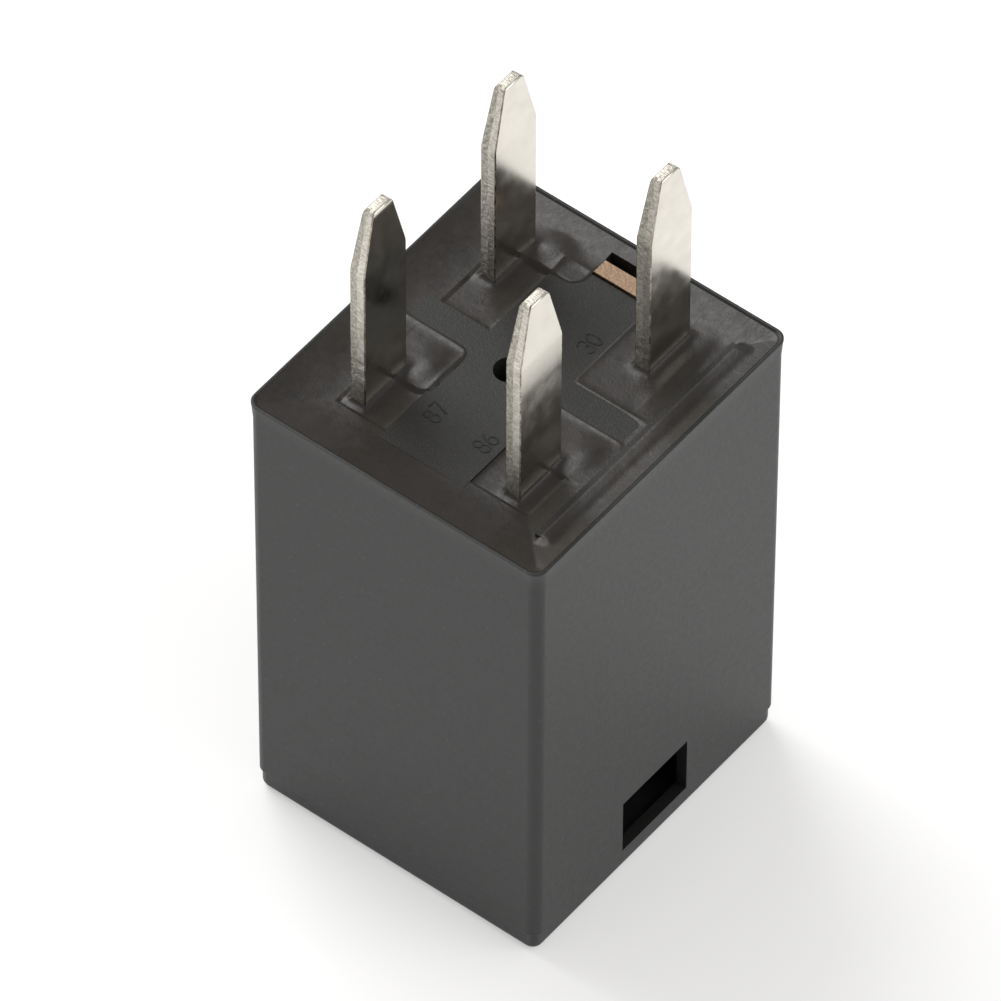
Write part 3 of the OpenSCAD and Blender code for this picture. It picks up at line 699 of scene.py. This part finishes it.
# Bank of resin along the rim, and the film that it leaves on the base
BANK_W = 2.6
BANK_RISE = 0.37
BANK_POWER = 1.8
FILM_SINK = 0.03
NO_RESIN = -9
BLEND = 0.03
# Height and reach of the climb at the walls of the base and at the blades
WALL_CLIMB, WALL_REACH = 0.06, 0.12
BLADE_CLIMB, BLADE_REACH = 0.16, 0.16
RIB_COAT = ((6.3, -6.4), (6.75, 6.8))
RIB_FLANK = (6.12, 6.3)
COAT_T = 0.03
HIGHEST = -0.02


def rounded_box(x, y, low, high, radius):
    """Signed distance to a rectangle with rounded corners, negative inside."""
    cx, cy = (low[0] + high[0]) / 2, (low[1] + high[1]) / 2
    hx, hy = (high[0] - low[0]) / 2 - radius, (high[1] - low[1]) / 2 - radius
    dx, dy = np.abs(x - cx) - hx, np.abs(y - cy) - hy
    outside = np.hypot(np.maximum(dx, 0), np.maximum(dy, 0))
    return outside + np.minimum(np.maximum(dx, dy), 0) - radius


def plateau_distance(x, y):
    """Signed distance to the grained top, negative over it."""
    return np.minimum(
        rounded_box(x, y, *TOP_MIDDLE, SHARP_R),
        rounded_box(x, y, *TOP_ARMS, SHARP_R),
    )


def blade_distance(x, y, place, inset, radius):
    """Signed distance to a blade's section drawn in by the inset, negative inside."""
    bx, by = place
    half_t, half_w = BLADE_HALF_T - inset, BLADE_HALF_W - inset
    return rounded_box(x, y, (bx - half_t, by - half_w), (bx + half_t, by + half_w), radius)


def swell(x, y, cx, cy, rx, ry):
    """Smooth hump, 1 at its middle."""
    return np.exp(-(((x - cx) / rx) ** 2 + ((y - cy) / ry) ** 2))


def pool(h, x, y, low, high, radius, level, soft):
    """Raises h to level inside a rounded rectangle, with a steep rounded edge."""
    inside = smooth_step(soft, -soft, rounded_box(x, y, low, high, radius))
    return h + (level - h) * inside


def potting_height(x, y):
    """Height of the resin from the rim at arrays of places."""
    edge = -rounded_box(x, y, (-RIM_X, -RIM_Y), (RIM_X, RIM_Y), RIM_R)
    bank = np.clip(1 - edge / BANK_W, 0, 1)
    well = np.full_like(x, WELL)
    for low, high, radius, level, soft in POOLS:
        well = pool(well, x, y, low, high, radius, level, soft)
    humps = sum(height * swell(x, y, *place) for height, *place in HUMPS)
    film = PLATEAU + BANK_RISE * bank ** BANK_POWER - FILM_SINK
    ring = np.where(edge < BANK_W, film, NO_RESIN)
    # The resin climbs a little at the walls that it wets
    wall = np.abs(plateau_distance(x, y))
    climb = WALL_CLIMB * np.exp(-wall / WALL_REACH)
    for place in BLADES.values():
        foot = blade_distance(x, y, place, 0, SHARP_R)
        climb = climb + BLADE_CLIMB * np.exp(-np.maximum(foot, 0) / BLADE_REACH)
    blend = np.logaddexp((well + humps + climb) / BLEND, ring / BLEND) * BLEND
    rib = smooth_step(0.5, -0.1, rounded_box(x, y, *RIB_COAT, 0.1))
    lift = np.maximum(RIB_TOP + COAT_T - blend, 0)
    blend = blend + lift * rib * smooth_step(*RIB_FLANK, x)
    return np.minimum(blend, HIGHEST)


GRID_STEP = 0.07
OVERLAP = 0.1
HOLE_R = 0.05
BLADE_INSET = 0.06
CORNER_SLACK = 0.02


def potting_mesh():
    """Resin as a fine height field with a skirt down to the ledge. The top and ear stay bare."""
    nx, ny = round(2 * RIM_X / GRID_STEP), round(2 * RIM_Y / GRID_STEP)
    gx, gy = np.meshgrid(np.linspace(-RIM_X, RIM_X, nx + 1), np.linspace(-RIM_Y, RIM_Y, ny + 1))
    h = potting_height(gx, gy)
    over_top = plateau_distance(gx, gy) < -OVERLAP
    over_rib = rounded_box(gx, gy, *RIB, SHARP_R) < -OVERLAP
    bare = (over_top & (h < PLATEAU - COAT_T)) | (over_rib & (h < RIB_TOP - COAT_T))
    bare |= rounded_box(gx, gy, *EAR, HOLE_R) < 0
    for place in BLADES.values():
        bare |= blade_distance(gx, gy, place, BLADE_INSET, HOLE_R) < 0
    # Places outside the rim's rounded corners hold no resin
    bare |= rounded_box(gx, gy, (-RIM_X, -RIM_Y), (RIM_X, RIM_Y), RIM_R) > CORNER_SLACK
    bm = bmesh.new()
    verts = {}

    def vert(j, i):
        if (j, i) not in verts:
            verts[j, i] = bm.verts.new((gx[j, i] * MM, gy[j, i] * MM, COVER_H + h[j, i] * MM))
        return verts[j, i]

    for j in range(ny):
        for i in range(nx):
            if not bare[j:j + 2, i:i + 2].any():
                bm.faces.new((vert(j, i), vert(j, i + 1), vert(j + 1, i + 1), vert(j + 1, i)))
    rim = [e for e in bm.edges if e.is_boundary]
    skirt = bmesh.ops.extrude_edge_only(bm, edges=rim)["geom"]
    for part in skirt:
        if isinstance(part, bmesh.types.BMVert):
            part.co.z = LEDGE_Z
    floor = [e for e in bm.edges if e.is_boundary]
    bmesh.ops.triangle_fill(bm, use_beauty=True, edges=floor)
    bmesh.ops.recalc_face_normals(bm, faces=bm.faces)
    return mesh_from(bm, "resin")


def make_potting():
    """The resin in place of the frame's potting."""
    piece = new_piece("resin", potting_mesh(), EPOXY)
    soften(piece, 60)
    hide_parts("potting")


# ---------------------------------------------------------------- terminals

BLADE_L = (TIP_Z - COVER_H) / MM
TAPER = 3.15
TIP_HALF_W = 0.65
TIP_HALF_T = 0.28
NOSE_R = 0.26
CHAMFER = 0.05
NOSE_DRAW_W, NOSE_DRAW_T = 0.8, 0.35
NOSE_ROWS = (0.5, 0.2, 0.05, 0)
CUT_Z = -0.9
TEAR_STEPS = 3
TEAR_DEPTH = 0.018
RING_STEP = 0.11
NOTCHES = {"87": (1.35, 2.05), "30": (0.75,)}
NOTCH_DEPTH = 0.05
NOTCH_HALF_H = 0.09
# Order of a terminal's materials
# The chamfer line is a strip of painted shade along each edge of the blade
WIDE_FACE, SHEARED, TORN, CHAMFER_SHADE_LINE, STRIP_END = range(5)
# Terminal 30 is cut round its blade only, since its strip end stands in the same level
STRIP_X = 3 * MM
STRIP_DEPTH = 1.2 * MM
BLADE_CLEAR = 1.5
EDGE_BEVEL = 0.05 * MM


def blade_half_sizes(z):
    """Half width and half thickness of a blade at height z over the rim."""
    taper = max(0, z - (BLADE_L - TAPER)) / TAPER
    w = BLADE_HALF_W * (1 - taper) + TIP_HALF_W * taper
    t = BLADE_HALF_T * (1 - taper) + TIP_HALF_T * taper
    nose = max(0, z - (BLADE_L - NOSE_R)) / NOSE_R
    drop = 1 - math.sqrt(max(0, 1 - nose * nose))
    return w - NOSE_DRAW_W * NOSE_R * drop, t - NOSE_DRAW_T * NOSE_R * drop


def blade_section(z, notches, wobble):
    """Points round a blade at height z, with the narrow sides split into strips."""
    w, t = blade_half_sizes(z)
    c = min(CHAMFER, 0.3 * t)
    notch = sum(NOTCH_DEPTH * max(0, 1 - abs(z - level) / NOTCH_HALF_H) for level in notches)
    points = []
    for side in (-1, 1):
        inner = w - (notch if side < 0 else 0)
        points.append((side * t, side * (w - c)))
        for i in range(2 * TEAR_STEPS + 1):
            x = side * (t - c) * (1 - i / TEAR_STEPS)
            torn = x < -0.02
            depth = wobble(x, side, z) if torn else 0
            points.append((x, side * (inner - depth)))
        points.append((-side * t, side * (w - c)))
    return points


def blade_mesh_faces(bm, number, seed):
    """Adds one blade, from inside the resin to its tip. Each face has its material's index."""
    bx, by = BLADES[number]
    notches = NOTCHES.get(number, ())
    rough = random.Random(seed)
    phases = [rough.uniform(0, 6.28) for _ in range(8)]

    def wobble(x, side, z):
        a = math.sin(z * 9.1 + phases[0] + 2 * x) * math.sin(z * 23.7 + phases[1]) * 0.5
        b = math.sin(z * 41.3 + 11 * x + phases[2]) * 0.35
        return TEAR_DEPTH * (1 + a + b)

    rows = int((BLADE_L - CUT_Z) / RING_STEP)
    levels = [CUT_Z + (BLADE_L - CUT_Z) * i / rows for i in range(rows)]
    levels += [BLADE_L - NOSE_R * part for part in NOSE_ROWS]
    levels = sorted(set(levels))
    rings = []
    for z in levels:
        rings.append([
            bm.verts.new(((bx + px) * MM, (by + py) * MM, COVER_H + z * MM))
            for px, py in blade_section(z, notches, wobble)
        ])
    count = len(rings[0])
    half = count // 2
    for lower, upper in zip(rings, rings[1:]):
        for i in range(count):
            j = (i + 1) % count
            face = bm.faces.new((lower[i], lower[j], upper[j], upper[i]))
            face.material_index = strip_material(i % half, half, i < half)
    bm.faces.new(rings[-1]).material_index = SHEARED
    bm.faces.new(list(reversed(rings[0])))


def strip_material(i, half, front):
    """Material of face i, counted from the start of one of the blade's two narrow sides."""
    last = half - 1
    if i == last:
        return WIDE_FACE
    # Chamfer faces take the painted shade line
    if i in (0, last - 1):
        return CHAMFER_SHADE_LINE
    torn = i <= TEAR_STEPS if front else i > TEAR_STEPS
    return TORN if torn else SHEARED


def terminal_mesh(number, seed):
    """Terminal with the frame's shape below the resin and a finished blade above."""
    node = "terminal_" + number
    bm = bmesh.new()
    bm.from_mesh(copy_of(node, node))
    cut_z = COVER_H + (CUT_Z + 0.05) * MM
    bmesh.ops.bisect_plane(
        bm,
        geom=bm.verts[:] + bm.edges[:] + bm.faces[:],
        plane_co=(0, 0, cut_z),
        plane_no=(0, 0, 1),
        clear_outer=number != "30",
    )
    if number == "30":
        by = BLADES[number][1]
        low_y, high_y = (by - BLADE_CLEAR) * MM, (by + BLADE_CLEAR) * MM
        above = cut_z + 0.001 * MM
        away = [
            v for v in bm.verts
            if v.co.z > above and low_y < v.co.y < high_y and v.co.x > STRIP_X
        ]
        bmesh.ops.delete(bm, geom=away, context="VERTS")
    holes = [e for e in bm.edges if e.is_boundary]
    bmesh.ops.holes_fill(bm, edges=holes)
    bevel_edges(bm, EDGE_BEVEL)
    blade_mesh_faces(bm, number, seed)
    if number == "30":
        for face in bm.faces:
            middle = face.calc_center_median()
            if middle.x < STRIP_X and middle.z > COVER_H - STRIP_DEPTH:
                face.material_index = STRIP_END
    bmesh.ops.recalc_face_normals(bm, faces=bm.faces)
    return mesh_from(bm, node)


def bevel_edges(bm, width, angle=35):
    """Bevels every edge that bends more than the angle."""
    sharp = [
        e for e in bm.edges
        if len(e.link_faces) == 2 and e.calc_face_angle(0) > math.radians(angle)
    ]
    bmesh.ops.bevel(bm, geom=sharp, offset=width, segments=2, affect="EDGES", clamp_overlap=True)


def make_terminals():
    """The four terminals in place of the frame's."""
    for seed, number in enumerate(sorted(BLADES)):
        mesh = terminal_mesh(number, seed)
        piece = new_piece("blade_" + number, mesh, TIN)
        # The third of these paints shade on the chamfers
        for material in (TIN_SHEAR, TIN_TORN, TIN_PAINTED_SHADE_EDGE, BRONZE):
            mesh.materials.append(material)
        soften(piece, 25)
        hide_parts("terminal_" + number)


# ---------------------------------------------------------------- numbers

DIGIT_H = 0.82
DIGIT_W = 0.4
DIGIT_PITCH = 0.54
# Foot of each number's first digit, along X and Y
NUMBER_STARTS = {"87": (-1.01, -4.22), "86": (1.66, -4.22), "30": (1.7, 2.78), "85": (-1.01, 2.78)}
STROKE_R = 0.045
# Section of a stroke, across and up, in stroke radii
STROKE_PROFILE = ((-1, -0.4), (-0.75, 0.5), (0, 0.8), (0.75, 0.5), (1, -0.4))


def arc(cx, cy, rx, ry, start, end, steps=14):
    """Points on an ellipse, angles in degrees."""
    return [
        (cx + rx * math.cos(math.radians(start + (end - start) * i / steps)),
         cy + ry * math.sin(math.radians(start + (end - start) * i / steps)))
        for i in range(steps + 1)
    ]


def digit_strokes(digit):
    """Strokes of a plain digit in a box DIGIT_W wide and DIGIT_H high."""
    w, h = DIGIT_W, DIGIT_H
    low, high = 0.27 * h, 0.75 * h
    shapes = {
        "0": [arc(w / 2, h / 2, w / 2, h / 2, 0, 360, 24)],
        "3": [
            arc(w / 2, high, w / 2, 0.25 * h, 160, -90)
            + arc(w / 2, low, w / 2, 0.27 * h, 80, -160)],
        "5": [
            [(w, h), (0.1 * w, h), (0.05 * w, 0.55 * h)]
            + arc(0.45 * w, 0.3 * h, 0.55 * w, 0.3 * h, 120, -140)],
        "6": [arc(w / 2, low, w / 2, 0.27 * h, 0, 360, 20), arc(w, 0.3 * h, w, 0.7 * h, 180, 110)],
        "7": [[(0, h), (w, h), (0.35 * w, 0)]],
        "8": [
            arc(w / 2, low, w / 2, 0.27 * h, 0, 360, 20),
            arc(w / 2, high, 0.43 * w, 0.23 * h, 0, 360, 18)],
    }
    return shapes[digit]


def stroke_ribbon(bm, points, place):
    """Low raised ridge along a stroke."""
    closed = math.dist(points[0], points[-1]) < 1e-6
    points = points[:-1] if closed else points
    count = len(points)
    rows = []
    for i, (x, y) in enumerate(points):
        before = points[(i - 1) % count] if closed or i else points[i]
        after = points[(i + 1) % count] if closed or i < count - 1 else points[i]
        dx, dy = after[0] - before[0], after[1] - before[1]
        length = math.hypot(dx, dy)
        nx, ny = -dy / length, dx / length
        rows.append([
            bm.verts.new(place(x + nx * a * STROKE_R, y + ny * a * STROKE_R, b * STROKE_R))
            for a, b in STROKE_PROFILE
        ])
    pairs = list(zip(rows, rows[1:])) + ([(rows[-1], rows[0])] if closed else [])
    width = len(STROKE_PROFILE)
    for one, two in pairs:
        for k in range(width):
            n = (k + 1) % width
            bm.faces.new((one[k], one[n], two[n], two[k]))
    if not closed:
        bm.faces.new(rows[0])
        bm.faces.new(list(reversed(rows[-1])))


def make_numbers():
    """Plain terminal numbers, raised on the base beside each blade. They read along +Y."""
    plateau_z = COVER_H + PLATEAU * MM
    for number, (foot_x, start_y) in NUMBER_STARTS.items():
        bm = bmesh.new()
        for k, digit in enumerate(number):
            for points in digit_strokes(digit):
                def place(x, y, z, k=k):
                    return (
                        (foot_x - y) * MM,
                        (start_y + k * DIGIT_PITCH + x) * MM,
                        plateau_z + z * MM,
                    )
                stroke_ribbon(bm, points, place)
        bmesh.ops.recalc_face_normals(bm, faces=bm.faces)
        name = "number_" + number
        new_piece(name, mesh_from(bm, name), BASE_PLASTIC)


# ---------------------------------------------------------------- assembly

bpy.context.scene.view_settings.view_transform = "Standard"
make_camera()
make_floor()
make_world()
make_lamp("key", azimuth=165, elevation=50, distance=1.2, size=0.8, power=8)
make_lamp("side", azimuth=20, elevation=35, distance=1.2, size=0.8, power=3)

for node, slot in NODE_SLOTS.items():
    dress(node, INNER[slot])
dress("base", BASE_PLASTIC)
make_cover()
make_potting()
make_terminals()
make_numbers()
